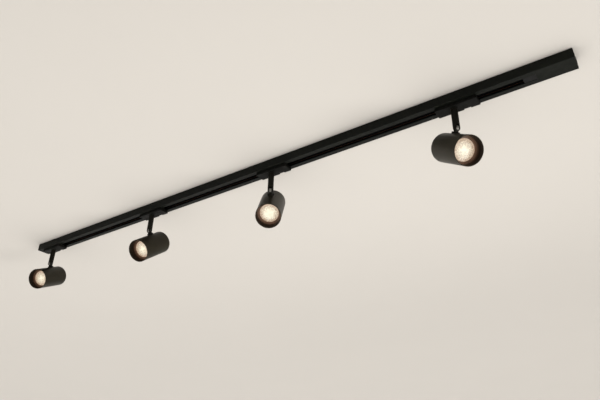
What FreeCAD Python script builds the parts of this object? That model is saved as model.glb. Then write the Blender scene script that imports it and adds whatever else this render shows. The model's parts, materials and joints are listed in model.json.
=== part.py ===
"""Track lighting fixture: a single-circuit ceiling track with four adjustable spots.

The origin is the middle of the rail's ceiling face. +X runs along the rail towards its
live end, +Z points up into the ceiling, and everything hangs below z = 0. Lengths are in
millimetres and angles in degrees.
"""
import FreeCAD, Part
import math
import os

Vector = FreeCAD.Vector
UP = Vector(0, 0, 1)
ALONG = Vector(1, 0, 0)

# Track
TRACK_LENGTH = 1500.0
TRACK_WIDTH = 35.0
TRACK_HEIGHT = 19.0
WALL = 1.4
LIP_THICKNESS = 1.5
SLOT_WIDTH = 14.0
RIB = 1.2
EDGE_ROUND = 0.5
LIVE_END_LENGTH = 64.0
END_CAP_LENGTH = 10.0
END_PLUG_LENGTH = 8.0
SCREW_HOLE_RADIUS = 2.25
SCREW_HOLE_SPACING = 400.0

# Insulators and conductors inside the rail
CHANNEL_WIDTH = 18.0
INSULATOR_TOP = -4.6
GROOVE_TOP = -9.5
GROOVE_HEIGHT = 3.0
GROOVE_DEPTH = 4.5
CONDUCTOR_THICKNESS = 2.0

# Live end
COVER_WALL = 1.8
INLET_RADIUS = 5.0
INLET_COLLAR = 2.0
INLET_LENGTH = 4.8
INLET_SETBACK = 24.0
NOSE_LENGTH = 22.0
NOSE_GAP = 0.4
BLOCK_LENGTH = 22.0
BLOCK_WIDTH = 26.0
BLOCK_TOP = -4.6
BLOCK_BOTTOM = -15.0
TERMINAL_SPACING = 7.6
TERMINAL_SCREW_RADIUS = 1.8
TERMINAL_HEAD_RADIUS = 2.6
WIRE_HOLE_RADIUS = 1.5

# Where the four spots stand at rest: place along the rail, pan and tilt
SPOTS = (
    (-694.5, 21.6, 25.7),
    (-272.5, 8.5, 35.7),
    (114.5, 30.0, 47.0),
    (537.5, 49.5, 35.4),
)

# Adapter
ADAPTER_LEFT = -33.0
ADAPTER_RIGHT = 46.0
ADAPTER_INSET = 7.0
TRAY_WIDTH = 24.5
TRAY_TOP = -19.3
TRAY_BOTTOM = -26.0
ADAPTER_TOP = -6.0
ADAPTER_BODY_WIDTH = 13.4
ADAPTER_WALL = 1.5
CAVITY_FLOOR = -18.0
CONTACT_LENGTH = 12.0
CONTACT_HEIGHT = 2.0
CONTACT_FROM_STEM = -22.0
CONTACT_REACH = 11.3

# Latch
LATCH_X = 22.0
LATCH_SHAFT_RADIUS = 3.0
LATCH_ARM_WIDTH = 9.0
LATCH_ARM_REACH = 12.8
LATCH_POCKET_RADIUS = 14.0
LATCH_POCKET_TOP = -21.0
LATCH_POCKET_BOTTOM = -24.0
LATCH_PLAY = 0.4
LATCH_NOTCH_WIDTH = 13.0
LATCH_NOTCH_DEPTH = 3.0
LATCH_FOOT_LENGTH = 17.4
LATCH_FOOT_WIDTH = 6.0
LATCH_FOOT_BOTTOM = -17.3
LATCH_FOOT_TOP = -14.8

# Stem and its swivel joint
STEM_RADIUS = 6.5
STEM_BORE = 2.0
STEM_NECK_RADIUS = 3.0
STEM_NECK_TOP = -13.0
STEM_SHOULDER = -26.2
NUT_RADIUS = 4.9
NUT_BOTTOM = -17.9
NUT_TOP = -14.9
NUT_SLOT = 1.2
RUNNING_FIT = 0.05
PIVOT_DROP = 68.0
FORK_SLOT = 6.2
TONGUE_THICKNESS = 5.0
TONGUE_RADIUS = 5.0
TONGUE_ROOM = 0.5
WASHER_THICKNESS = 0.55
WASHER_RADIUS = 4.2
SCREW_RADIUS = 1.6
SCREW_HEAD_RADIUS = 2.6
SCREW_HEAD_PLAY = 0.2
SCREW_HEAD_SEAT = 4.2
SCREW_HEAD_TOP = 5.7
SCREW_END = 5.2
HEX_SIZE = 2.0
DISC_RADIUS = 7.5
DISC_GAP = 0.4
SPIGOT_RADIUS = 3.5
SPIGOT_LENGTH = 3.0

# Barrel
BARREL_RADIUS = 27.7
BARREL_LENGTH = 94.0
BARREL_WALL = 1.5
BARREL_BACK = 1.5
BARREL_BACK_ROUND = 2.5
MOUTH_WALL = 1.1
MOUTH_DEPTH = 17.5
MOUTH_CHAMFER = 0.3
AXIS_DROP = 37.3
BARREL_FORWARD = 14.0

# Lamp, its ring and its holder
LAMP_RECESS = 18.5
LAMP_RADIUS = 25.0
LAMP_LENGTH = 46.0
LAMP_RIM_LENGTH = 5.0
LAMP_BASE_RADIUS = 13.5
LAMP_BASE_LENGTH = 14.0
LENS_RADIUS = 20.5
LENS_THICKNESS = 2.5
LENS_RISE = 1.0
LENS_PLAY = 0.05
RING_INNER = 25.3
RING_LENGTH = 5.0
RING_PROUD = 0.8
PIN_SPACING = 10.0
PIN_RADIUS = 1.5
PIN_LENGTH = 7.0
PIN_HEAD_RADIUS = 2.5
PIN_HEAD_LENGTH = 2.2
HOLDER_RADIUS = 14.0
HOLDER_GAP = 0.5
HOLDER_LENGTH = 18.0
HOLDER_FACE = 3.2
HOLDER_POCKET = 5.0
HOLDER_LEG_RADIUS = 2.0
HOLDER_LEG_SPACING = 20.0
TWIST = 20.0
PIN_PLAY = 0.3

# Worked out from the above
HALF_LENGTH = TRACK_LENGTH / 2
HALF_WIDTH = TRACK_WIDTH / 2
HALF_SLOT = SLOT_WIDTH / 2
HALF_CHANNEL = CHANNEL_WIDTH / 2
RAIL_START = -HALF_LENGTH + END_CAP_LENGTH
RAIL_END = HALF_LENGTH - LIVE_END_LENGTH
INNER_HALF = HALF_WIDTH - WALL
LIP_TOP = LIP_THICKNESS - TRACK_HEIGHT
CHANNEL_START = RAIL_START + END_PLUG_LENGTH
GROOVE_BOTTOM = GROOVE_TOP - GROOVE_HEIGHT
CONDUCTOR_INNER = HALF_CHANNEL + GROOVE_DEPTH - CONDUCTOR_THICKNESS
INNER_BARREL = BARREL_RADIUS - BARREL_WALL
LAMP_BACK = -LAMP_RECESS - LAMP_LENGTH
HOLDER_FRONT = LAMP_BACK - HOLDER_GAP


def span(middle, width):
    """The two ends of a width centred on a place."""
    return middle - width / 2, middle + width / 2


def block(x, y, z):
    """A block between two values of each coordinate."""
    return Part.makeBox(x[1] - x[0], y[1] - y[0], z[1] - z[0], Vector(x[0], y[0], z[0]))


def rod(radius, start, end):
    """A round bar from one point to another."""
    run = end.sub(start)
    return Part.makeCylinder(radius, run.Length, start, run)


def post(radius, z, x=0.0, y=0.0):
    """A round bar standing on a place, between two heights."""
    return rod(radius, Vector(x, y, z[0]), Vector(x, y, z[1]))


def drawn(outline, x):
    """An outline of (y, z) points drawn out along the track."""
    points = [Vector(x[0], y, z) for y, z in outline]
    face = Part.Face(Part.makePolygon(points + points[:1]))
    return face.extrude(Vector(x[1] - x[0], 0, 0))


def turned(outline):
    """An outline of (radius, z) points turned about the Z axis."""
    points = [Vector(radius, 0, height) for radius, height in outline]
    face = Part.Face(Part.makePolygon(points + points[:1]))
    return face.revolve(Vector(), UP, 360)


def mirrored(outline):
    """The same (y, z) outline on the other side of the track."""
    return [(-y, z) for y, z in outline]


def group(shapes):
    """Separate solids of one kind, kept in one node."""
    return Part.makeCompound(shapes)


def rounded(shape, radius, wanted):
    """Round the edges that the test picks."""
    return shape.makeFillet(radius, [edge for edge in shape.Edges if wanted(edge)])


def runs_along(edge, direction):
    """True for a straight edge along a direction."""
    if not isinstance(edge.Curve, Part.Line):
        return False
    return abs(abs(edge.tangentAt(edge.FirstParameter).dot(direction)) - 1) < 1e-6


# ---------------------------------------------------------------- the track

def rail():
    """The aluminium extrusion: web, side walls, ribs and the two lips of the slot."""
    half = [
        (0, 0),
        (HALF_WIDTH, 0),
        (HALF_WIDTH, -TRACK_HEIGHT),
        (HALF_SLOT, -TRACK_HEIGHT),
        (HALF_SLOT, LIP_TOP),
        (INNER_HALF, LIP_TOP),
        (INNER_HALF, INSULATOR_TOP),
        (INNER_HALF - RIB, INSULATOR_TOP),
        (INNER_HALF - RIB, INSULATOR_TOP + RIB),
        (INNER_HALF, INSULATOR_TOP + RIB),
        (INNER_HALF, -WALL),
    ]
    outline = half[1:] + mirrored(reversed(half[1:]))
    shape = drawn(outline, (RAIL_START, RAIL_END))
    bottom_corner = lambda edge: runs_along(edge, ALONG) and edge.BoundBox.ZMax < EDGE_ROUND - TRACK_HEIGHT
    shape = rounded(shape, EDGE_ROUND, bottom_corner)
    for number in (-1.5, -0.5, 0.5, 1.5):
        hole = post(SCREW_HOLE_RADIUS, (-2 * WALL, WALL), x=number * SCREW_HOLE_SPACING)
        shape = shape.cut(hole)
    return shape


def insulator_outline():
    """The plastic profile that sits on a lip and holds a conductor in its groove."""
    groove_end = HALF_CHANNEL + GROOVE_DEPTH
    return [
        (INNER_HALF, LIP_TOP),
        (HALF_CHANNEL, LIP_TOP),
        (HALF_CHANNEL, GROOVE_BOTTOM),
        (groove_end, GROOVE_BOTTOM),
        (groove_end, GROOVE_TOP),
        (HALF_CHANNEL, GROOVE_TOP),
        (HALF_CHANNEL, INSULATOR_TOP),
        (INNER_HALF, INSULATOR_TOP),
    ]


def insulators():
    """The insulating profiles on both sides of the channel."""
    outline = insulator_outline()
    reach = (CHANNEL_START, RAIL_END)
    return group([drawn(outline, reach), drawn(mirrored(outline), reach)])


def conductors():
    """The live and neutral copper strips at the bottom of the grooves."""
    reach = (CHANNEL_START, RAIL_END - COVER_WALL)
    height = (GROOVE_BOTTOM, GROOVE_TOP)
    inner = CONDUCTOR_INNER
    outer = CONDUCTOR_INNER + CONDUCTOR_THICKNESS
    return group([block(reach, (inner, outer), height), block(reach, (-outer, -inner), height)])


def end_cap():
    """The plain cap at the far end, with the plug that holds it in the rail."""
    shape = block((-HALF_LENGTH, RAIL_START), span(0, TRACK_WIDTH), (-TRACK_HEIGHT, 0))
    outer_edge = lambda edge: edge.BoundBox.ZMax < -TRACK_HEIGHT / 2 and edge.BoundBox.XMax < RAIL_START
    shape = rounded(shape, EDGE_ROUND, outer_edge)
    plug = block((RAIL_START, CHANNEL_START), span(0, 2 * (INNER_HALF - RIB)), (LIP_TOP, -WALL))
    tongue = block((RAIL_START, CHANNEL_START), span(0, SLOT_WIDTH - NOSE_GAP), (-TRACK_HEIGHT, LIP_TOP))
    return shape.fuse([plug, tongue]).removeSplitter()


def inlet_x():
    """Where the supply cable comes in, along the track."""
    return HALF_LENGTH - INLET_SETBACK


def feed_cover():
    """The plain housing of the live end, open towards the rail."""
    shape = block((RAIL_END, HALF_LENGTH), span(0, TRACK_WIDTH), (-TRACK_HEIGHT, 0))
    outer_edge = lambda edge: edge.BoundBox.ZMax < -TRACK_HEIGHT / 2 and edge.BoundBox.XMin > RAIL_END
    bottom_corner = lambda edge: runs_along(edge, ALONG) and edge.BoundBox.ZMax < -TRACK_HEIGHT / 2
    shape = rounded(shape, EDGE_ROUND, lambda edge: outer_edge(edge) or bottom_corner(edge))
    hollow = block(
        (RAIL_END, HALF_LENGTH - COVER_WALL),
        span(0, TRACK_WIDTH - 2 * COVER_WALL),
        (COVER_WALL - TRACK_HEIGHT, -COVER_WALL),
    )
    shape = shape.cut(hollow)
    shape = shape.fuse(post(INLET_RADIUS + INLET_COLLAR, (-INLET_LENGTH, -COVER_WALL), x=inlet_x()))
    return shape.cut(post(INLET_RADIUS, (-2 * INLET_LENGTH, COVER_WALL), x=inlet_x())).removeSplitter()


def terminal_places():
    """The sideways places of the earth, live and neutral terminals."""
    return (-TERMINAL_SPACING, 0.0, TERMINAL_SPACING)


def terminal_x():
    """The middle of the terminal block, along the track."""
    return RAIL_END + BLOCK_LENGTH / 2


def feed_blades():
    """The two blades from the terminal block to the conductors."""
    reach = (RAIL_END - NOSE_LENGTH / 2, terminal_x())
    height = span((GROOVE_TOP + GROOVE_BOTTOM) / 2, CONTACT_HEIGHT)
    inner = CONDUCTOR_INNER - CONDUCTOR_THICKNESS
    return [block(reach, (inner, CONDUCTOR_INNER), height), block(reach, (-CONDUCTOR_INNER, -inner), height)]


def terminal_screw(y):
    """One clamp screw, with its head in the block's underside and a slot across it."""
    head_top = BLOCK_BOTTOM + TERMINAL_SCREW_RADIUS
    shape = post(TERMINAL_HEAD_RADIUS, (BLOCK_BOTTOM, head_top), x=terminal_x(), y=y)
    shank_top = (BLOCK_TOP + BLOCK_BOTTOM) / 2
    shape = shape.fuse(post(TERMINAL_SCREW_RADIUS, (head_top, shank_top), x=terminal_x(), y=y))
    slot = block(
        span(terminal_x(), 3 * TERMINAL_HEAD_RADIUS),
        span(y, TERMINAL_SCREW_RADIUS / 3),
        (BLOCK_BOTTOM, BLOCK_BOTTOM + TERMINAL_SCREW_RADIUS / 2),
    )
    return shape.cut(slot)


def terminal_screws():
    """The clamp screws of the three terminals."""
    return group([terminal_screw(y) for y in terminal_places()])


def feed_insert():
    """The terminal block, with the nose that plugs into the end of the rail."""
    shape = block((RAIL_END, RAIL_END + BLOCK_LENGTH), span(0, BLOCK_WIDTH), (BLOCK_BOTTOM, BLOCK_TOP))
    nose = block(
        (RAIL_END - NOSE_LENGTH, RAIL_END),
        span(0, SLOT_WIDTH - 2 * NOSE_GAP),
        (NOSE_GAP - TRACK_HEIGHT, BLOCK_TOP),
    )
    shape = shape.fuse(nose)
    for y in terminal_places():
        seat = BLOCK_BOTTOM + TERMINAL_SCREW_RADIUS
        wire = (BLOCK_TOP + BLOCK_BOTTOM) / 2 + WIRE_HOLE_RADIUS
        shape = shape.cut(post(TERMINAL_HEAD_RADIUS, (BLOCK_BOTTOM, seat), x=terminal_x(), y=y))
        shape = shape.cut(post(TERMINAL_SCREW_RADIUS, (seat, wire), x=terminal_x(), y=y))
        start = Vector(terminal_x() - 2 * WIRE_HOLE_RADIUS, y, wire)
        shape = shape.cut(rod(WIRE_HOLE_RADIUS, start, start.add(ALONG * BLOCK_LENGTH)))
    return shape.cut(feed_blades())


# ---------------------------------------------------------------- one adapter, its stem at x = 0

def contact_blocks(inner):
    """The space of the two contacts, from a distance inside the body outwards."""
    reach = (CONTACT_FROM_STEM, CONTACT_FROM_STEM + CONTACT_LENGTH)
    height = span((GROOVE_TOP + GROOVE_BOTTOM) / 2, CONTACT_HEIGHT)
    return [block(reach, (inner, CONTACT_REACH), height), block(reach, (-CONTACT_REACH, -inner), height)]


def adapter_contacts():
    """The two spring contacts, each with a leg standing inside the adapter's wall."""
    inner = ADAPTER_BODY_WIDTH / 2 - ADAPTER_WALL
    contacts = []
    for side, blade in zip((1, -1), contact_blocks(inner)):
        leg = block(
            (CONTACT_FROM_STEM, CONTACT_FROM_STEM + CONTACT_LENGTH),
            sorted((side * inner, side * (inner - ADAPTER_WALL / 2))),
            (CAVITY_FLOOR, GROOVE_TOP),
        )
        tip = [edge for edge in blade.Edges if runs_along(edge, UP) and abs(edge.CenterOfMass.y) > HALF_CHANNEL]
        blade = blade.makeChamfer(CONTACT_HEIGHT * 0.75, tip)
        contacts.append(blade.fuse(leg).removeSplitter())
    return group(contacts)


def adapter_housing():
    """The carrier: a tray below the rail and a narrow body that stands in its slot."""
    tray = block((ADAPTER_LEFT, ADAPTER_RIGHT), span(0, TRAY_WIDTH), (TRAY_BOTTOM, TRAY_TOP))
    tray = rounded(tray, 2 * EDGE_ROUND, lambda edge: runs_along(edge, UP))
    tray = rounded(tray, EDGE_ROUND, lambda edge: edge.BoundBox.ZMax < TRAY_BOTTOM + EDGE_ROUND)
    body_reach = (ADAPTER_LEFT + ADAPTER_INSET, ADAPTER_RIGHT - ADAPTER_INSET)
    body = block(body_reach, span(0, ADAPTER_BODY_WIDTH), (TRAY_TOP, ADAPTER_TOP))
    shape = tray.fuse(body).removeSplitter()

    wiring_space = block(
        (body_reach[0] + ADAPTER_WALL, LATCH_X - LATCH_POCKET_RADIUS),
        span(0, ADAPTER_BODY_WIDTH - 2 * ADAPTER_WALL),
        (CAVITY_FLOOR, 0),
    )
    stem_hole = post(STEM_NECK_RADIUS + RUNNING_FIT, (2 * TRAY_BOTTOM, 0))
    shape = shape.cut([wiring_space, stem_hole] + contact_blocks(0))
    return shape.cut(latch_spaces())


def latch_spaces():
    """The pocket the latch's arm swings in, its thumb notch, shaft hole and foot space."""
    arm_pocket = post(LATCH_POCKET_RADIUS, (LATCH_POCKET_BOTTOM, LATCH_POCKET_TOP), x=LATCH_X)
    side = LATCH_ARM_WIDTH / 2 + 2 * LATCH_PLAY
    kept = (LATCH_X - side, LATCH_X + LATCH_POCKET_RADIUS)
    quarter = block(kept, (-side, LATCH_POCKET_RADIUS), (2 * LATCH_POCKET_BOTTOM, 0))
    notch = block(
        span(LATCH_X, LATCH_NOTCH_WIDTH),
        (TRAY_WIDTH / 2 - LATCH_NOTCH_DEPTH, TRAY_WIDTH),
        (2 * TRAY_BOTTOM, LATCH_POCKET_TOP),
    )
    shaft_hole = post(LATCH_SHAFT_RADIUS + RUNNING_FIT, (LATCH_POCKET_TOP, LATCH_FOOT_BOTTOM), x=LATCH_X)
    foot_space = post(
        LATCH_FOOT_LENGTH / 2 + LATCH_PLAY,
        (LATCH_FOOT_BOTTOM - LATCH_PLAY / 2, LATCH_FOOT_TOP + LATCH_PLAY),
        x=LATCH_X,
    )
    return [arm_pocket.common(quarter), notch, shaft_hole, foot_space]


def latch_lever():
    """The locking lever: a thumb arm, a shaft and the foot that turns over the lips."""
    arm_height = (LATCH_POCKET_BOTTOM + LATCH_PLAY, LATCH_POCKET_TOP - LATCH_PLAY)
    arm = block(span(LATCH_X, LATCH_ARM_WIDTH), (0, LATCH_ARM_REACH), arm_height)
    tip = lambda edge: runs_along(edge, UP) and edge.BoundBox.YMin > LATCH_ARM_REACH / 2
    arm = rounded(arm, 2 * EDGE_ROUND, tip)
    hub = post(LATCH_ARM_WIDTH / 2, arm_height, x=LATCH_X)
    shaft = post(LATCH_SHAFT_RADIUS, (arm_height[0], LATCH_FOOT_TOP), x=LATCH_X)
    foot = block(
        span(LATCH_X, LATCH_FOOT_WIDTH),
        span(0, LATCH_FOOT_LENGTH),
        (LATCH_FOOT_BOTTOM, LATCH_FOOT_TOP),
    )
    foot = foot.common(post(LATCH_FOOT_LENGTH / 2, (LATCH_FOOT_BOTTOM, LATCH_FOOT_TOP), x=LATCH_X))
    return arm.fuse([hub, shaft, foot]).removeSplitter()


# ---------------------------------------------------------------- one stem, its head facing -Y

def pivot():
    """The point on the stem's axis that the head tilts about."""
    return Vector(0, 0, -PIVOT_DROP)


def across(radius, x):
    """A round bar on the pivot's axis, which runs along X."""
    return rod(radius, pivot().add(ALONG * x[0]), pivot().add(ALONG * x[1]))


def stem():
    """The drop tube, with a domed end that is slotted into a fork for the tongue."""
    shape = post(STEM_RADIUS, (-PIVOT_DROP, STEM_SHOULDER)).fuse(Part.makeSphere(STEM_RADIUS, pivot()))
    shape = shape.fuse(post(STEM_NECK_RADIUS, (STEM_SHOULDER, STEM_NECK_TOP))).removeSplitter()
    slot_top = TONGUE_RADIUS + TONGUE_ROOM - PIVOT_DROP
    slot = block(span(0, FORK_SLOT), span(0, 4 * STEM_RADIUS), (-2 * PIVOT_DROP, slot_top))
    screw_hole = across(SCREW_RADIUS, (-SCREW_END, SCREW_HEAD_SEAT))
    head_hole = across(SCREW_HEAD_RADIUS + SCREW_HEAD_PLAY, (SCREW_HEAD_SEAT, 2 * STEM_RADIUS))
    return shape.cut([slot, post(STEM_BORE, (slot_top, 0)), screw_hole, head_hole])


def stem_nut():
    """The slotted ring nut that keeps the stem in the adapter."""
    nut = post(NUT_RADIUS, (NUT_BOTTOM, NUT_TOP)).cut(post(STEM_NECK_RADIUS, (NUT_BOTTOM, NUT_TOP)))
    slot = block(span(0, 3 * NUT_RADIUS), span(0, NUT_SLOT), (NUT_TOP - NUT_SLOT, NUT_TOP))
    return nut.cut(slot.cut(post(STEM_NECK_RADIUS, (NUT_BOTTOM, NUT_TOP))))


# ---------------------------------------------------------------- one head, level and facing -Y

def barrel_axis_height():
    """The height of the barrel's axis while the head is level."""
    return -PIVOT_DROP - AXIS_DROP


def mouth_y():
    """Where the barrel's mouth is while the head is level and faces -Y."""
    return -BARREL_FORWARD - BARREL_LENGTH / 2


def in_barrel(shape):
    """Lay a shape, made with its mouth at z = 0 facing up, into the level barrel."""
    shape = shape.copy()
    shape.rotate(Vector(), ALONG, 90)
    shape.translate(Vector(0, mouth_y(), barrel_axis_height()))
    return shape


def knuckle():
    """The tongue in the fork, on a round disc that carries the barrel by a spigot."""
    disc_top = -PIVOT_DROP - STEM_RADIUS - DISC_GAP
    barrel_top = barrel_axis_height() + BARREL_RADIUS
    sides = span(0, TONGUE_THICKNESS)
    tongue = block(sides, span(0, 2 * TONGUE_RADIUS), (disc_top, -PIVOT_DROP)).fuse(across(TONGUE_RADIUS, sides))
    disc = post(DISC_RADIUS, (barrel_top - BARREL_WALL, disc_top))
    disc = rounded(disc, EDGE_ROUND, lambda edge: edge.BoundBox.ZMin > disc_top - EDGE_ROUND / 2)
    shape = tongue.fuse(disc).cut(in_barrel(post(BARREL_RADIUS, (-BARREL_LENGTH, 0))))
    spigot = post(SPIGOT_RADIUS, (barrel_top - SPIGOT_LENGTH, barrel_top + BARREL_WALL / 2))
    shape = shape.fuse(spigot).removeSplitter()
    return shape.cut(across(SCREW_RADIUS + RUNNING_FIT, sides))


def hex_socket(x):
    """A six-sided key socket on the pivot's axis, between two places."""
    corners = [math.radians(60 * number) for number in range(6)]
    radius = HEX_SIZE / math.sqrt(3)
    points = [pivot().add(Vector(x[0], radius * math.cos(a), radius * math.sin(a))) for a in corners]
    face = Part.Face(Part.makePolygon(points + points[:1]))
    return face.extrude(ALONG * (x[1] - x[0]))


def pivot_screw():
    """The socket-head screw through the fork and the tongue."""
    shank = across(SCREW_RADIUS, (-SCREW_END, SCREW_HEAD_SEAT))
    head = across(SCREW_HEAD_RADIUS, (SCREW_HEAD_SEAT, SCREW_HEAD_TOP))
    socket = hex_socket((SCREW_HEAD_TOP - HEX_SIZE / 2, SCREW_HEAD_TOP + HEX_SIZE))
    return shank.fuse(head).removeSplitter().cut(socket)


def pivot_washers():
    """The two friction washers, between the tongue and the fork's cheeks."""
    cheek = FORK_SLOT / 2
    washers = []
    for x in ((cheek - WASHER_THICKNESS, cheek), (-cheek, WASHER_THICKNESS - cheek)):
        washers.append(across(WASHER_RADIUS, x).cut(across(SCREW_RADIUS + RUNNING_FIT, x)))
    return group(washers)


def barrel():
    """The tube-shaped housing, closed at the back and wider inside at the mouth."""
    shape = post(BARREL_RADIUS, (-BARREL_LENGTH, 0))
    shape = rounded(shape, BARREL_BACK_ROUND, lambda edge: edge.BoundBox.ZMax < BARREL_BACK_ROUND - BARREL_LENGTH)
    rim = [edge for edge in shape.Edges if edge.BoundBox.ZMin > -MOUTH_CHAMFER]
    shape = shape.makeChamfer(MOUTH_CHAMFER, rim)
    shape = shape.cut(post(INNER_BARREL, (BARREL_BACK - BARREL_LENGTH, 0)))
    shape = shape.cut(post(BARREL_RADIUS - MOUTH_WALL, (-MOUTH_DEPTH, BARREL_WALL)))
    return in_barrel(shape).cut(post(SPIGOT_RADIUS, (barrel_axis_height(), -PIVOT_DROP)))


def baffle_ring():
    """The thin ring that centres the lamp in the barrel."""
    front = RING_PROUD - LAMP_RECESS
    height = (front - RING_LENGTH, front)
    return in_barrel(post(INNER_BARREL, height).cut(post(RING_INNER, height)))


def ring_sector(radii, angles, z):
    """Part of a flat ring between two angles, as a solid."""
    outline = [(radii[0], z[0]), (radii[1], z[0]), (radii[1], z[1]), (radii[0], z[1])]
    points = [Vector(r, 0, height) for r, height in outline]
    face = Part.Face(Part.makePolygon(points + points[:1]))
    face.rotate(Vector(), UP, angles[0])
    return face.revolve(Vector(), UP, angles[1] - angles[0])


def key_slot(radius, z, first, last):
    """The curved slot that a round of this radius sweeps as the lamp is twisted."""
    middle = PIN_SPACING / 2
    ends = []
    for angle in (first, last):
        place = Vector(middle * math.cos(math.radians(angle)), middle * math.sin(math.radians(angle)), 0)
        ends.append(post(radius, z, x=place.x, y=place.y))
    return ring_sector((middle - radius, middle + radius), (first, last), z).fuse(ends)


def lampholder():
    """The ceramic twist-and-lock holder on its two legs."""
    back = HOLDER_FRONT - HOLDER_LENGTH
    shape = post(HOLDER_RADIUS, (back, HOLDER_FRONT))
    face_back = HOLDER_FRONT - HOLDER_FACE
    pocket = (face_back - HOLDER_POCKET, face_back)
    for half_turn in (0, 180):
        first = half_turn
        last = half_turn + TWIST
        shape = shape.cut(key_slot(PIN_RADIUS + PIN_PLAY, (face_back, HOLDER_FRONT), first, last))
        shape = shape.cut(key_slot(PIN_HEAD_RADIUS + PIN_PLAY, pocket, first, last))
        shape = shape.cut(key_slot(PIN_HEAD_RADIUS + PIN_PLAY, (face_back, HOLDER_FRONT), last, last + 1))
    for x in span(0, HOLDER_LEG_SPACING):
        shape = shape.fuse(post(HOLDER_LEG_RADIUS, (BARREL_BACK - BARREL_LENGTH, back), x=x))
    return in_barrel(shape.removeSplitter())


def lamp_body():
    """The reflector lamp: rim, bowl, base and its two pins with wider ends."""
    front = -LAMP_RECESS
    rim_back = front - LAMP_RIM_LENGTH
    bowl_back = LAMP_BACK + LAMP_BASE_LENGTH
    shape = turned([
        (0, LAMP_BACK),
        (LAMP_BASE_RADIUS, LAMP_BACK),
        (LAMP_BASE_RADIUS, bowl_back),
        ((LAMP_RADIUS + LAMP_BASE_RADIUS) / 2, bowl_back + LAMP_RIM_LENGTH),
        (LAMP_RADIUS, rim_back),
        (LAMP_RADIUS, front),
        (LENS_RADIUS, front),
        (LENS_RADIUS, front - LENS_THICKNESS),
        (0, front - LENS_THICKNESS),
    ])
    pin_end = LAMP_BACK - PIN_LENGTH
    for x in span(0, PIN_SPACING):
        shape = shape.fuse(post(PIN_RADIUS, (pin_end, LAMP_BACK), x=x))
        shape = shape.fuse(post(PIN_HEAD_RADIUS, (pin_end, pin_end + PIN_HEAD_LENGTH), x=x))
    return in_barrel(shape.removeSplitter())


def lamp_lens():
    """The lamp's slightly domed front lens."""
    front = -LAMP_RECESS
    edge = LENS_RADIUS - LENS_PLAY
    return in_barrel(turned([
        (0, front - LENS_THICKNESS),
        (edge, front - LENS_THICKNESS),
        (edge, front),
        (edge * 0.75, front + LENS_RISE * 0.5),
        (edge * 0.4, front + LENS_RISE * 0.9),
        (0, front + LENS_RISE),
    ]))


# ---------------------------------------------------------------- everything in its place

TRACK_PIECES = {
    "rail": rail,
    "insulators": insulators,
    "conductors": conductors,
    "end_cap": end_cap,
    "feed_cover": feed_cover,
    "feed_insert": feed_insert,
    "feed_contacts": lambda: group(feed_blades()),
    "terminal_screws": terminal_screws,
}

ADAPTER_PIECES = {
    "adapter_housing": adapter_housing,
    "adapter_contacts": adapter_contacts,
    "latch_lever": latch_lever,
}

STEM_PIECES = {
    "stem": stem,
    "stem_nut": stem_nut,
    "pivot_screw": pivot_screw,
    "pivot_washers": pivot_washers,
}

HEAD_PIECES = {
    "knuckle": knuckle,
    "barrel": barrel,
    "baffle_ring": baffle_ring,
    "lampholder": lampholder,
    "lamp_body": lamp_body,
    "lamp_lens": lamp_lens,
}


def save(shape, node):
    """Write one node's solids to its own file."""
    if not shape.isValid():
        raise ValueError(node + " is not a valid solid")
    shape.exportStep("parts/" + node + ".step")


def save_spots():
    """Write the pieces of the four spots, each turned and moved to its place."""
    parts = {}
    for pieces in (ADAPTER_PIECES, STEM_PIECES, HEAD_PIECES):
        for name, make in pieces.items():
            parts[name] = make()
    for number, (place, pan, tilt) in enumerate(SPOTS, start=1):
        for name, made in parts.items():
            shape = made.copy()
            if name in HEAD_PIECES:
                shape.rotate(pivot(), ALONG, tilt)
            if name not in ADAPTER_PIECES:
                shape.rotate(Vector(), UP, pan)
            shape.translate(ALONG * place)
            save(shape, name + "_" + str(number))


os.makedirs("parts", exist_ok=True)
for node_name, make_piece in TRACK_PIECES.items():
    save(make_piece(), node_name)
save_spots()
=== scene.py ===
"""The looks of the track lighting fixture: finishes, lit lenses, room, lights and camera."""

import json
import math

import bmesh
import bpy
from mathutils import Matrix, Vector


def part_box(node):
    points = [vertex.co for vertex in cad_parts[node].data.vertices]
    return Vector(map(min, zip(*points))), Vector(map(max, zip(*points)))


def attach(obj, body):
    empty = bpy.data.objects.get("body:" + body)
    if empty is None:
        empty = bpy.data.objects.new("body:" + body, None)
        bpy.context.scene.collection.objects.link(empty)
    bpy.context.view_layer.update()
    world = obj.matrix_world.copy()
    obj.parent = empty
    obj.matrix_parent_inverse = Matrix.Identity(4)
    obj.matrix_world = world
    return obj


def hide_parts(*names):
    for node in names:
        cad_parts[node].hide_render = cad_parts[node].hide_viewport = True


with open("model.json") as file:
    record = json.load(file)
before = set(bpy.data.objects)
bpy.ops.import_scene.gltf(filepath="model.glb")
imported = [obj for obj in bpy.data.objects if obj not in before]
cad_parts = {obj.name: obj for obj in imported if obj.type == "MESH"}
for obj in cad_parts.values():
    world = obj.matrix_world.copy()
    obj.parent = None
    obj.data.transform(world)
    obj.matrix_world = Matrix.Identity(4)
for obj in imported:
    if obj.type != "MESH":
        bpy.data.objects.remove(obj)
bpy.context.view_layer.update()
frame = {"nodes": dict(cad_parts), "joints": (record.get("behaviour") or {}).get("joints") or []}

MM = 0.001
SPOT_NUMBERS = range(1, 5)
JOINTS = {joint["name"]: joint for joint in frame["joints"]}


# ---------------------------------------------------------------- shader maths

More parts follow.
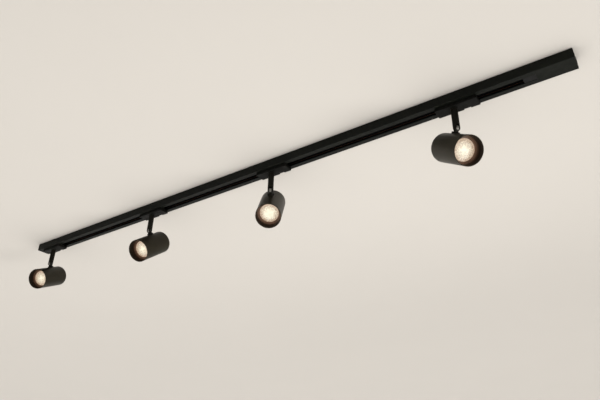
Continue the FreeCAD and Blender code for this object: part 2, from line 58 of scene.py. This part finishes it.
class Varying:
    """A number that varies over a surface. Sums and products of it become Math nodes."""

    def __init__(self, finish, socket):
        self.finish = finish
        self.socket = socket

    def math(self, operation, first, second):
        node = self.finish.add("ShaderNodeMath", {"operation": operation}, {0: first, 1: second})
        return Varying(self.finish, node.outputs["Value"])

    def __add__(self, other):
        return self.math("ADD", self, other)

    def __sub__(self, other):
        return self.math("SUBTRACT", self, other)

    def __rsub__(self, other):
        return self.math("SUBTRACT", other, self)

    def __mul__(self, other):
        return self.math("MULTIPLY", self, other)

    def __pow__(self, other):
        return self.math("POWER", self, other)

    __radd__ = __add__
    __rmul__ = __mul__

    def wave(self, length):
        """0 to 1 and back over each length."""
        return self.math("PINGPONG", self * (2 / length), 1.0)

    def ramp(self, low, high, start=0.0, end=1.0):
        """The number carried from one range to another, held at its ends."""
        sockets = {"Value": self, "From Min": low, "From Max": high, "To Min": start, "To Max": end}
        node = self.finish.add("ShaderNodeMapRange", {"clamp": True}, sockets)
        return Varying(self.finish, node.outputs["Result"])


class Finish:
    """A surface finish: a material with one shader, and the nodes that feed it."""

    def __init__(self, name, **steady):
        self.material = bpy.data.materials.new(name)
        self.material.use_nodes = True
        self.tree = self.material.node_tree
        self.tree.nodes.clear()
        sockets = {key.replace("_", " "): value for key, value in steady.items()}
        self.shader = self.add("ShaderNodeBsdfPrincipled", {}, sockets)
        self.output = self.add("ShaderNodeOutputMaterial", {}, {"Surface": self.shader.outputs["BSDF"]})
        self.place = self.add("ShaderNodeTexCoord", {}, {}).outputs["Object"]

    def add(self, kind, settings, sockets):
        """Any node: its settings first, then the values or links of its sockets."""
        node = self.tree.nodes.new(kind)
        for name, setting in settings.items():
            setattr(node, name, setting)
        for key, value in sockets.items():
            self.feed(node, key, value)
        return node

    def feed(self, node, key, value):
        """Set or link one socket, known by its place, its identifier or its name."""
        if isinstance(key, int):
            socket = node.inputs[key]
        else:
            socket = next(s for s in node.inputs if key in (s.identifier, s.name))
        if isinstance(value, Varying):
            value = value.socket
        if isinstance(value, bpy.types.NodeSocket):
            self.tree.links.new(value, socket)
        else:
            socket.default_value = value

    def shade(self, **sockets):
        """Feed the shader's own sockets."""
        for key, value in sockets.items():
            self.feed(self.shader, key.replace("_", " "), value)

    def noise(self, scale, detail=2.0, stretch=(1, 1, 1)):
        """Soft random cloudiness, about this many blobs to the metre."""
        place = self.add("ShaderNodeVectorMath", {"operation": "MULTIPLY"}, {0: self.place, 1: stretch})
        sockets = {"Vector": place.outputs["Vector"], "Scale": scale, "Detail": detail}
        return Varying(self, self.add("ShaderNodeTexNoise", {}, sockets).outputs["Fac"])

    def grains(self, scale, scatter=1.0):
        """The distance to the middle of the nearest of many packed grains."""
        sockets = {"Vector": self.place, "Scale": scale, "Randomness": scatter}
        return Varying(self, self.add("ShaderNodeTexVoronoi", {}, sockets).outputs["Distance"])

    def patches(self, scale, scatter=1.0):
        """A random number for each of many packed grains."""
        sockets = {"Vector": self.place, "Scale": scale, "Randomness": scatter}
        colour = self.add("ShaderNodeTexVoronoi", {}, sockets).outputs["Color"]
        parts = self.add("ShaderNodeSeparateColor", {}, {"Color": colour})
        return Varying(self, parts.outputs["Red"])

    def past(self, point, direction):
        """How far along a direction the surface lies from a point."""
        away = self.add("ShaderNodeVectorMath", {"operation": "SUBTRACT"}, {0: self.place, 1: point})
        sockets = {0: away.outputs["Vector"], 1: direction}
        node = self.add("ShaderNodeVectorMath", {"operation": "DOT_PRODUCT"}, sockets)
        return Varying(self, node.outputs["Value"])

    def from_point(self, point):
        """The distance from a point."""
        sockets = {0: self.place, 1: point}
        node = self.add("ShaderNodeVectorMath", {"operation": "DISTANCE"}, sockets)
        return Varying(self, node.outputs["Value"])

    def from_axis(self, point, direction):
        """The distance from a line through a point."""
        square = self.from_point(point) ** 2 - self.past(point, direction) ** 2
        return square.ramp(0, 1) ** 0.5

    def mix(self, share, first, second):
        """A colour between two others."""
        sockets = {"Factor_Float": share}
        for key, colour in (("A_Color", first), ("B_Color", second)):
            sockets[key] = colour if isinstance(colour, bpy.types.NodeSocket) else (*colour, 1)
        node = self.add("ShaderNodeMix", {"data_type": "RGBA"}, sockets)
        return next(s for s in node.outputs if s.identifier == "Result_Color")

    def bump(self, height, depth):
        """Raise the surface by a height map, in metres at its full height."""
        node = self.add("ShaderNodeBump", {}, {"Height": height, "Distance": depth, "Strength": 1.0})
        self.shade(Normal=node.outputs["Normal"])


# ---------------------------------------------------------------- colours, textures and depths

RAIL_DARK = (0.0034, 0.0040, 0.0030)
RAIL_LIGHT = (0.0060, 0.0068, 0.0054)
MOULD_DARK = (0.0040, 0.0046, 0.0036)
MOULD_LIGHT = (0.0070, 0.0078, 0.0062)
TERMINAL_DARK = (0.008, 0.008, 0.008)
TERMINAL_LIGHT = (0.012, 0.012, 0.012)
INSULATOR_DARK = (0.003, 0.003, 0.003)
INSULATOR_LIGHT = (0.006, 0.006, 0.006)
ADAPTER_DARK = (0.0026, 0.0027, 0.0022)
ADAPTER_LIGHT = (0.0054, 0.0054, 0.0044)
LEVER_DARK = (0.009, 0.009, 0.0078)
LEVER_LIGHT = (0.014, 0.014, 0.012)
STEM_DARK = (0.0046, 0.0042, 0.0030)
STEM_LIGHT = (0.0076, 0.0071, 0.0051)
# Steel at the pivot, lighter than the coat: partly wear, partly a painted highlight
WORN_STEEL_AND_HIGHLIGHT = (0.17, 0.165, 0.15)
BARREL_DARK = (0.0096, 0.0080, 0.0044)
BARREL_LIGHT = (0.0156, 0.0133, 0.0077)
# Darker, warmer colour inside the barrel's mouth
INSIDE_DARKER = (0.0060, 0.0042, 0.0026)
LAMP_DARK = (0.030, 0.019, 0.012)
LAMP_LIGHT = (0.062, 0.040, 0.026)
CERAMIC_CREAM = (0.62, 0.585, 0.52)
CERAMIC_PALE = (0.74, 0.71, 0.65)
CERAMIC_SPECK = (0.2, 0.13, 0.08)
BLACK = (0.0, 0.0, 0.0)
# Painted lamplight on the barrel's inner wall and the lamp's rim
LAMPLIGHT = (0.085, 0.041, 0.023)
WARM_SHEEN = (1.0, 0.92, 0.76, 1)

# Each metal: clean, then tarnished
COPPER = ((0.30, 0.15, 0.09), (0.10, 0.055, 0.035))
BRASS = ((0.78, 0.60, 0.30), (0.40, 0.28, 0.13))
ZINC = ((0.66, 0.66, 0.63), (0.44, 0.43, 0.40))
DARK_STEEL = ((0.15, 0.147, 0.14), (0.08, 0.078, 0.074))
BLACK_OXIDE = ((0.07, 0.07, 0.072), (0.045, 0.043, 0.042))
RING_METAL = ((0.20, 0.16, 0.12), (0.12, 0.09, 0.06))

# Texture sizes, as blobs, grains or lines to the metre
ORANGE_PEEL = 1100
PEEL_GRAINS = 3200
PAINT_CLOUDS = 16
MOULD_SPARK = 2400
MOULD_FLOW = 40
HANDLING = 90
DRAWN_LINES = 3500
TARNISH = 120
DULL_SPOTS = 420
LIP_WEAR = 260
DIE_LINES = 1500
STEM_WEAR = 700
RIM_WEAR = 420
MOUTH_MOTTLE = 220
PIVOT_WEAR_AND_HIGHLIGHT_EDGE = 900
SCRATCHES = 3000
TURNING_NOISE = 2500
CHALK = 1800
FIRING_SPECKS = 900
SPECK_PATCHES = 300
CERAMIC_CLOUDS = 60
HEAT_CLOUDS = 70
CAST_TOOTH = 1500
LENS_FACETS = 520
LENS_SWIRL = 140

# How deep each texture is
PEEL_DEPTH = 0.05 * MM
SPARK_DEPTH = 0.04 * MM
LINE_DEPTH = 0.02 * MM
TURNING_DEPTH = 0.03 * MM
CHALK_DEPTH = 0.04 * MM
CAST_DEPTH = 0.05 * MM
FACET_DEPTH = 0.1 * MM

ALONG_TRACK = (0.03, 1, 1)
TURNING_PITCH = 0.22 * MM
# Where the pivot's satin patch fades out: partly wear, partly a painted highlight
PIVOT_WEAR_AND_HIGHLIGHT_FROM = 6.0 * MM
PIVOT_WEAR_AND_HIGHLIGHT_TO = 6.8 * MM
MOUTH_GLOW = 19 * MM


# ---------------------------------------------------------------- finishes


def powder_coat(name, dark, light, gloss=0.065, rubbed=None, sheen=0.5):
    """Matte powder coat: orange peel, a speckle of gloss, soft clouding and rubbed edges."""
    finish = Finish(name, Specular_IOR_Level=gloss)
    finish.peel = finish.noise(ORANGE_PEEL, 3) + finish.grains(PEEL_GRAINS) * 0.4
    cloud = finish.noise(PAINT_CLOUDS, 5)
    finish.coat = finish.mix(cloud.ramp(0.32, 0.72), dark, light)
    rough = finish.peel * 0.25 + cloud * 0.12 + (sheen - 0.22)
    if rubbed:
        rub = rubbed(finish)
        bare = [part * 2 + 0.004 for part in light]
        finish.coat = finish.mix(rub, finish.coat, bare)
        rough = rough - rub * 0.12
    finish.shade(Base_Color=finish.coat, Roughness=rough)
    finish.bump(finish.peel, PEEL_DEPTH)
    return finish


def moulded(name, dark, light, sheen=0.55, along=(1, 1, 1)):
    """Spark-textured black moulding with faint flow marks and handling shine."""
    finish = Finish(name, Specular_IOR_Level=0.055)
    spark = finish.noise(MOULD_SPARK, 4, along)
    flow = finish.noise(MOULD_FLOW, 3, (0.35, 1, 1))
    handled = finish.noise(HANDLING, 2)
    finish.shade(
        Base_Color=finish.mix(flow.ramp(0.3, 0.7), dark, light),
        Roughness=spark * 0.25 + handled.ramp(0.45, 0.7, 0.1, -0.05) + (sheen - 0.15),
    )
    finish.bump(spark + flow * 0.3, SPARK_DEPTH)
    return finish


def bare_metal(name, metal, sheen, along=(1, 1, 1)):
    """Drawn or rolled metal: fine lines, a cloudy tarnish and small dull spots."""
    finish = Finish(name)
    lines = finish.noise(DRAWN_LINES, 2, along)
    tarnish = finish.noise(TARNISH, 5)
    spots = finish.grains(DULL_SPOTS).ramp(0.08, 0.25, 1, 0) * tarnish.ramp(0.4, 0.6)
    share = tarnish.ramp(0.35, 0.75) * 0.5 + spots * 0.4
    finish.shade(
        Base_Color=finish.mix(share, *metal),
        Metallic=1 - spots * 0.5,
        Roughness=lines * 0.2 + share * 0.25 + (sheen - 0.1),
    )
    finish.bump(lines, LINE_DEPTH)
    return finish


def lip_rub(finish):
    """Wear along the rail's lower corners, broken up by noise."""
    low, high = (Vector(corner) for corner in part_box("rail"))
    half_width = (high.y - low.y) / 2
    side = finish.past((0, 0, 0), (0, 1, 0)) ** 2
    corner = side.ramp((half_width - 0.9 * MM) ** 2, (half_width - 0.2 * MM) ** 2)
    near_bottom = finish.past((0, 0, low.z), (0, 0, 1)).ramp(0.3 * MM, 1.1 * MM, 1, 0)
    patchy = finish.noise(LIP_WEAR, 4, (0.25, 1, 1)).ramp(0.48, 0.66)
    return corner * near_bottom * patchy


def rail_coat():
    """The rail's powder coat, over faint lines left by the extrusion die."""
    finish = powder_coat("rail_coat", RAIL_DARK, RAIL_LIGHT, rubbed=lip_rub)
    finish.bump(finish.peel + finish.noise(DIE_LINES, 2, ALONG_TRACK) * 0.7, PEEL_DEPTH)
    return finish


def stem_rub(number):
    """Rub rings where the stem turns against the adapter, and at the fork's end."""
    def rubbed(finish):
        shoulder = JOINTS[f"stem_pan_{number}"]["pos_m"]
        pivot = JOINTS[f"head_tilt_{number}"]["pos_m"]
        top = finish.past(shoulder, (0, 0, -1)).ramp(0.6 * MM, 2.2 * MM, 1, 0)
        fork = finish.past(pivot, (0, 0, 1)).ramp(-5 * MM, -2 * MM, 1, 0)
        patchy = finish.noise(STEM_WEAR, 3).ramp(0.42, 0.6)
        return (top + fork) * patchy
    return rubbed


def reaches(node, number):
    """How far a node's corners lie in front of a head's mouth, and from the lamp's axis."""
    twist = JOINTS[f"lamp_twist_{number}"]
    axis = Vector(twist["axis"])
    mouth = Vector(twist["pos_m"])
    corners = [vertex.co - mouth for vertex in frame["nodes"][node].data.vertices]
    fronts = [corner.dot(axis) for corner in corners]
    widths = [(corner - axis * front).length for corner, front in zip(corners, fronts)]
    return fronts, widths


def barrel_coat(number):
    """The barrel's warm dark coat, rubbed around the rim, darker inside the mouth, and glowing with
    painted lamplight on the inner wall near the lamp.
    """
    twist = JOINTS[f"lamp_twist_{number}"]
    fronts, widths = reaches(f"barrel_{number}", number)
    wide = max(widths)
    bore = min(width for front, width in zip(fronts, widths) if front > -0.01 * MM)

    def rubbed(finish):
        rim = finish.past(twist["pos_m"], twist["axis"]).ramp(-0.9 * MM, -0.2 * MM)
        return rim * finish.noise(RIM_WEAR, 4).ramp(0.46, 0.64)

    coat_name = f"barrel_coat_{number}"
    finish = powder_coat(coat_name, BARREL_DARK, BARREL_LIGHT, gloss=0.12, rubbed=rubbed, sheen=0.36)
    depth = finish.past(twist["pos_m"], twist["axis"])
    outside = finish.from_axis(twist["pos_m"], twist["axis"]).ramp(bore + 0.1 * MM, wide - 0.1 * MM)
    # Darker and warmer inside the mouth.
    inside = (1 - outside) * depth.ramp(-3 * MOUTH_GLOW, -2 * MOUTH_GLOW)
    # Painted lamplight: a warm, mottled glow on the inner wall next to the lamp.
    near_lamp = depth.ramp(-MOUTH_GLOW, 0, 1, 0) ** 8
    lit = near_lamp * inside * finish.noise(MOUTH_MOTTLE, 3).ramp(0.2, 0.7, 0.6, 1.0)
    finish.shade(
        Base_Color=finish.mix(inside, finish.coat, INSIDE_DARKER),
        Specular_Tint=WARM_SHEEN,
        Emission_Color=finish.mix(lit, BLACK, LAMPLIGHT),
        Emission_Strength=1.0,
    )
    return finish


def knuckle_finish(number):
    """The painted tongue, rubbed down to satin steel where it turns in the fork, and lighter there as a
    painted highlight on its rounded end.
    """
    finish = powder_coat(f"knuckle_finish_{number}", STEM_DARK, STEM_LIGHT)
    near = finish.from_point(JOINTS[f"head_tilt_{number}"]["pos_m"])
    ragged = near + finish.noise(PIVOT_WEAR_AND_HIGHLIGHT_EDGE, 3) * (1.6 * MM)
    # A satin patch around the pivot: partly wear, partly a painted highlight on the tongue's rounded
    # end.
    wear_and_highlight = ragged.ramp(PIVOT_WEAR_AND_HIGHLIGHT_FROM, PIVOT_WEAR_AND_HIGHLIGHT_TO, 1, 0)
    scratches = finish.noise(SCRATCHES, 2, (0.2, 1, 1))
    finish.shade(
        Base_Color=finish.mix(wear_and_highlight, finish.coat, WORN_STEEL_AND_HIGHLIGHT),
        Roughness=wear_and_highlight * (-0.1) + scratches * 0.2 + 0.42,
        Metallic=wear_and_highlight * 0.6,
    )
    return finish


def turned_ring(number):
    """The satin ring behind the mouth, with fine turning marks around it."""
    twist = JOINTS[f"lamp_twist_{number}"]
    finish = bare_metal(f"turned_ring_{number}", RING_METAL, 0.3)
    around = finish.from_axis(twist["pos_m"], twist["axis"])
    finish.bump(around.wave(TURNING_PITCH) + finish.noise(TURNING_NOISE) * 0.4, TURNING_DEPTH)
    return finish


def steatite():
    """Unglazed ceramic: off-white with brown firing specks and a chalky tooth."""
    finish = Finish("steatite", Specular_IOR_Level=0.3)
    chalk = finish.noise(CHALK, 4)
    grains = finish.grains(FIRING_SPECKS).ramp(0.05, 0.14, 1, 0)
    specks = grains * finish.noise(SPECK_PATCHES).ramp(0.52, 0.6)
    body = finish.mix(finish.noise(CERAMIC_CLOUDS, 4), CERAMIC_CREAM, CERAMIC_PALE)
    finish.shade(Base_Color=finish.mix(specks, body, CERAMIC_SPECK), Roughness=chalk * 0.3 + 0.5)
    finish.bump(chalk - specks, CHALK_DEPTH)
    return finish


def lamp_shell(number):
    """The lamp's coated body: heat-browned, with its front rim warm in its own light."""
    finish = Finish(f"lamp_shell_{number}", Specular_IOR_Level=0.35, Emission_Strength=1.0)
    twist = JOINTS[f"lamp_twist_{number}"]
    front = max(reaches(f"lamp_body_{number}", number)[0])
    heat = finish.noise(HEAT_CLOUDS, 4)
    cast = finish.noise(CAST_TOOTH, 3)
    rim = finish.past(twist["pos_m"], twist["axis"]).ramp(front - 0.8 * MM, front - 0.1 * MM)
    finish.shade(
        Base_Color=finish.mix(heat.ramp(0.35, 0.7), LAMP_DARK, LAMP_LIGHT),
        Roughness=cast * 0.25 + 0.32,
        Emission_Color=finish.mix(rim * heat.ramp(0.3, 0.65, 0.4, 1.0), BLACK, LAMPLIGHT),
    )
    finish.bump(cast, CAST_DEPTH)
    return finish


def dress(node, finish):
    """Give a CAD node one finish."""
    for slot in frame["nodes"][node].material_slots:
        slot.material = finish.material


def dress_track():
    """Finish the rail, its two ends and what they hold."""
    mould = moulded("end_moulding", MOULD_DARK, MOULD_LIGHT)
    dress("rail", rail_coat())
    dress("end_cap", mould)
    dress("feed_cover", mould)
    dress("feed_insert", moulded("terminal_moulding", TERMINAL_DARK, TERMINAL_LIGHT))
    strip = moulded("insulator_extrusion", INSULATOR_DARK, INSULATOR_LIGHT, 0.5, ALONG_TRACK)
    dress("insulators", strip)
    dress("conductors", bare_metal("drawn_copper", COPPER, 0.4, ALONG_TRACK))
    dress("feed_contacts", bare_metal("spring_brass", BRASS, 0.28))
    dress("terminal_screws", bare_metal("zinc_plate", ZINC, 0.35))


def dress_spots():
    """Finish the pieces of each spot, all but the lens."""
    adapter = moulded("adapter_moulding", ADAPTER_DARK, ADAPTER_LIGHT, sheen=0.5)
    lever = moulded("lever_moulding", LEVER_DARK, LEVER_LIGHT, sheen=0.42)
    brass = bare_metal("contact_brass", BRASS, 0.28)
    zinc = bare_metal("nut_zinc", ZINC, 0.35)
    washer = bare_metal("washer_steel", DARK_STEEL, 0.36)
    oxide = bare_metal("black_oxide", BLACK_OXIDE, 0.35)
    ceramic = steatite()
    for number in SPOT_NUMBERS:
        dress(f"adapter_housing_{number}", adapter)
        dress(f"latch_lever_{number}", lever)
        dress(f"adapter_contacts_{number}", brass)
        dress(f"stem_nut_{number}", zinc)
        dress(f"pivot_washers_{number}", washer)
        dress(f"pivot_screw_{number}", oxide)
        dress(f"lampholder_{number}", ceramic)
        dress(f"lamp_body_{number}", lamp_shell(number))
        stem = powder_coat(f"stem_coat_{number}", STEM_DARK, STEM_LIGHT, rubbed=stem_rub(number))
        dress(f"stem_{number}", stem)
        dress(f"knuckle_{number}", knuckle_finish(number))
        dress(f"barrel_{number}", barrel_coat(number))
        dress(f"baffle_ring_{number}", turned_ring(number))


# ---------------------------------------------------------------- the lit lenses

LENS_SEGMENTS = 120
FACET_RINGS = 11
FACET_SWELL = 0.16 * MM
RING_PITCH = 1.7 * MM
DOME_INSET = 0.5 * MM
# How far in from the rim, and how far down, the corners of the bevel lie
LENS_BEVEL = ((0.15 * MM, 0.3 * MM), (0.0, 0.7 * MM))
LENS_BASE = (0.04, 0.03, 0.02, 1)
HOT_WHITE = (1.0, 0.96, 0.76)
HOT_CREAM = (0.98, 0.88, 0.66)
FACET_PALE = (0.65, 0.51, 0.37)
FACET_WARM = (0.38, 0.265, 0.185)
SEAM_BROWN = (0.36, 0.24, 0.17)
# How far each lamp's hot middle reaches: widest on lamp 3, a painted glare of its beam seen nearer its
# axis
HOT_RADII = {1: 1.5 * MM, 2: 2.5 * MM, 3: 9.0 * MM, 4: 3.0 * MM}


def lens_glow(number, radius):
    """Light through a lens: a hot middle, bright facets and a warm mottled edge."""
    hot_radius = HOT_RADII[number]
    steady = {"Roughness": 0.12, "Base_Color": LENS_BASE, "Emission_Strength": 1.0}
    finish = Finish(f"lens_glow_{number}", **steady)
    around = finish.from_axis((0, 0, 0), (0, 0, 1))
    facet = finish.patches(LENS_FACETS, 0.7)
    seams = finish.grains(LENS_FACETS, 0.7).ramp(0.35, 0.75)
    swirl = finish.noise(LENS_SWIRL, 3)
    hot = finish.mix(swirl.ramp(0.4, 0.7), HOT_WHITE, HOT_CREAM)
    warm = finish.mix(facet, FACET_PALE, FACET_WARM)
    ragged = around + (facet - 0.5) * (5 * MM) + (swirl - 0.5) * (9 * MM)
    light = finish.mix(ragged.ramp(hot_radius, radius * 0.9), hot, warm)
    rings = (around.wave(RING_PITCH) * 0.2 + seams * 0.25) * around.ramp(hot_radius, radius, 0.3, 1.0)
    finish.shade(Emission_Color=finish.mix(rings, light, SEAM_BROWN))
    finish.bump(seams, FACET_DEPTH)
    return finish


def lens_outline(radius, thickness, rise):
    """The lens from its middle out: a shallow dome of ring facets, a bevel and a flat back."""
    points = []
    steps = FACET_RINGS * 4
    for step in range(steps + 1):
        share = step / steps
        facet = math.sin(share * FACET_RINGS * math.pi) ** 2
        swell = FACET_SWELL * facet * (1 - share ** 4)
        height = rise * (1 - share ** 2) - FACET_SWELL + swell
        points.append((share * (radius - DOME_INSET), height))
    for inset, drop in LENS_BEVEL:
        points.append((radius - inset, -drop))
    points.append((radius, -thickness))
    points.append((0.0, -thickness))
    return points


def turned(name, outline):
    """A closed piece turned about its own Z axis from (radius, height) points."""
    mesh = bpy.data.meshes.new(name)
    builder = bmesh.new()
    corners = [builder.verts.new((radius, 0, height)) for radius, height in outline]
    for first, second in zip(corners, corners[1:]):
        builder.edges.new((first, second))
    bmesh.ops.spin(
        builder,
        geom=builder.verts[:] + builder.edges[:],
        axis=(0, 0, 1),
        cent=(0, 0, 0),
        steps=LENS_SEGMENTS,
        angle=2 * math.pi,
    )
    bmesh.ops.remove_doubles(builder, verts=builder.verts, dist=1e-6)
    bmesh.ops.recalc_face_normals(builder, faces=builder.faces)
    for face in builder.faces:
        face.smooth = True
    builder.to_mesh(mesh)
    builder.free()
    piece = bpy.data.objects.new(name, mesh)
    bpy.context.scene.collection.objects.link(piece)
    return piece


def lens_place(number):
    """Where a lamp's lens sits, with its Z axis out of the mouth, and its three sizes."""
    twist = JOINTS[f"lamp_twist_{number}"]
    axis = Vector(twist["axis"])
    fronts, widths = reaches(f"lamp_lens_{number}", number)
    radius = max(widths)
    rim = max(front for front, width in zip(fronts, widths) if width > radius - 0.01 * MM)
    turn = axis.to_track_quat("Z", "Y").to_matrix().to_4x4()
    place = Matrix.Translation(Vector(twist["pos_m"]) + axis * rim) @ turn
    return place, radius, rim - min(fronts), max(fronts) - rim


def lenses():
    """Put a lit lens in each lamp, in place of the plain CAD lens."""
    for number in SPOT_NUMBERS:
        place, radius, thickness, rise = lens_place(number)
        lens = turned(f"lens_{number}", lens_outline(radius, thickness, rise))
        lens.data.materials.append(lens_glow(number, radius).material)
        lens.matrix_world = place
        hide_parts(f"lamp_lens_{number}")
        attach(lens, f"lamp_{number}")


# ---------------------------------------------------------------- ceiling, floor, lights, camera

CEILING_GAP = 1 * MM
ROOM_HEIGHT = 2.5
ROOM_SIZE = 14.0
CEILING_PAINT = (0.492, 0.474, 0.448)
FLOOR_PAINT = (0.76, 0.74, 0.71)
PAINT_DRIFT = 2.5
PAINT_STIPPLE = 500
STIPPLE_DEPTH = 0.05 * MM
FIXTURE_MIDDLE = (0, 0, -0.1)
FLOOR_LIGHT_PLACE = Vector((-1.2, 1.8, 50 * MM - ROOM_HEIGHT))
FLOOR_LIGHT_POWER = 680
FLOOR_LIGHT_COLOUR = (1, 0.985, 0.965)
SIDE_LIGHT_PLACE = (2.6, 0.4, -1.5)
SIDE_LIGHT_SIZE = 1.0
SIDE_LIGHT_POWER = 2.8
SIDE_LIGHT_COLOUR = (1, 0.97, 0.92)
SIDE_LIGHT_SPREAD = 40
SURROUNDINGS = (0.86, 0.83, 0.78, 1)
SURROUNDINGS_STRENGTH = 0.4


def one_sided(finish):
    """Let a surface be seen from its front only, so the room can be looked into from outside."""
    clear = finish.add("ShaderNodeBsdfTransparent", {}, {})
    side = finish.add("ShaderNodeNewGeometry", {}, {}).outputs["Backfacing"]
    sockets = {0: side, 1: finish.shader.outputs["BSDF"], 2: clear.outputs["BSDF"]}
    mixed = finish.add("ShaderNodeMixShader", {}, sockets)
    finish.feed(finish.output, "Surface", mixed.outputs["Shader"])


def plane(name, size, height, up):
    """A level square of the room, facing up or down, left out of the part itself."""
    mesh = bpy.data.meshes.new(name)
    builder = bmesh.new()
    bmesh.ops.create_grid(builder, x_segments=1, y_segments=1, size=size / 2)
    if not up:
        bmesh.ops.reverse_faces(builder, faces=builder.faces)
    builder.to_mesh(mesh)
    builder.free()
    piece = bpy.data.objects.new(name, mesh)
    piece.location.z = height
    bpy.context.scene.collection.objects.link(piece)
    return piece


def wall_paint(name, shade):
    """Rolled matt emulsion: a fine stipple and a very faint cloudiness."""
    finish = Finish(name, Specular_IOR_Level=0.1, Roughness=0.9)
    darker = [part * 0.975 for part in shade]
    finish.shade(Base_Color=finish.mix(finish.noise(PAINT_DRIFT, 3), shade, darker))
    finish.bump(finish.noise(PAINT_STIPPLE, 2), STIPPLE_DEPTH)
    return finish


def room():
    """The pale ceiling that the track is fixed to, and the floor below it."""
    ceiling = plane("ceiling", ROOM_SIZE, CEILING_GAP, up=False)
    paint = wall_paint("ceiling_paint", CEILING_PAINT)
    one_sided(paint)
    ceiling.data.materials.append(paint.material)
    floor = plane("floor", ROOM_SIZE, -ROOM_HEIGHT, up=True)
    floor.data.materials.append(wall_paint("floor_paint", FLOOR_PAINT).material)


def area_light(name, place, target, size, power, colour, spread=180):
    """A square soft light that the camera doesn't see."""
    light = bpy.data.lights.new(name, "AREA")
    light.spread = math.radians(spread)
    light.shape = "SQUARE"
    light.size = size
    light.energy = power
    light.color = colour
    lamp = bpy.data.objects.new(name, light)
    lamp.location = place
    lamp.rotation_euler = (Vector(target) - Vector(place)).to_track_quat("-Z", "Y").to_euler()
    lamp.visible_camera = False
    bpy.context.scene.collection.objects.link(lamp)


def lights():
    """Daylight thrown up by the floor, a weak soft light from one side, and pale surroundings."""
    area_light(
        "floor_bounce",
        place=FLOOR_LIGHT_PLACE,
        target=FLOOR_LIGHT_PLACE + Vector((0, 0, 1)),
        size=ROOM_SIZE,
        power=FLOOR_LIGHT_POWER,
        colour=FLOOR_LIGHT_COLOUR,
    )
    area_light(
        "side_softbox",
        place=SIDE_LIGHT_PLACE,
        target=FIXTURE_MIDDLE,
        size=SIDE_LIGHT_SIZE,
        power=SIDE_LIGHT_POWER,
        colour=SIDE_LIGHT_COLOUR,
        spread=SIDE_LIGHT_SPREAD,
    )
    world = bpy.data.worlds.new("room")
    world.use_nodes = True
    background = world.node_tree.nodes["Background"]
    background.inputs["Color"].default_value = SURROUNDINGS
    background.inputs["Strength"].default_value = SURROUNDINGS_STRENGTH
    bpy.context.scene.world = world
    bpy.context.scene.view_settings.view_transform = "Standard"


EYE = Vector((0.78996, -0.84092, -0.66773))
HEADING = math.radians(35.318)
RISE = math.radians(28.199)
ROLL = math.radians(1.155)
LENS_LENGTH = 33.78


def camera():
    """The viewpoint: below the track, near its live end, looking up along it."""
    data = bpy.data.cameras.new("camera")
    data.lens = LENS_LENGTH
    eye = bpy.data.objects.new("camera", data)
    turn = Matrix.Rotation(HEADING, 4, "Z") @ Matrix.Rotation(math.pi / 2 + RISE, 4, "X")
    eye.matrix_world = Matrix.Translation(EYE) @ turn @ Matrix.Rotation(ROLL, 4, "Z")
    bpy.context.scene.collection.objects.link(eye)
    bpy.context.scene.camera = eye


dress_track()
dress_spots()
lenses()
room()
lights()
camera()
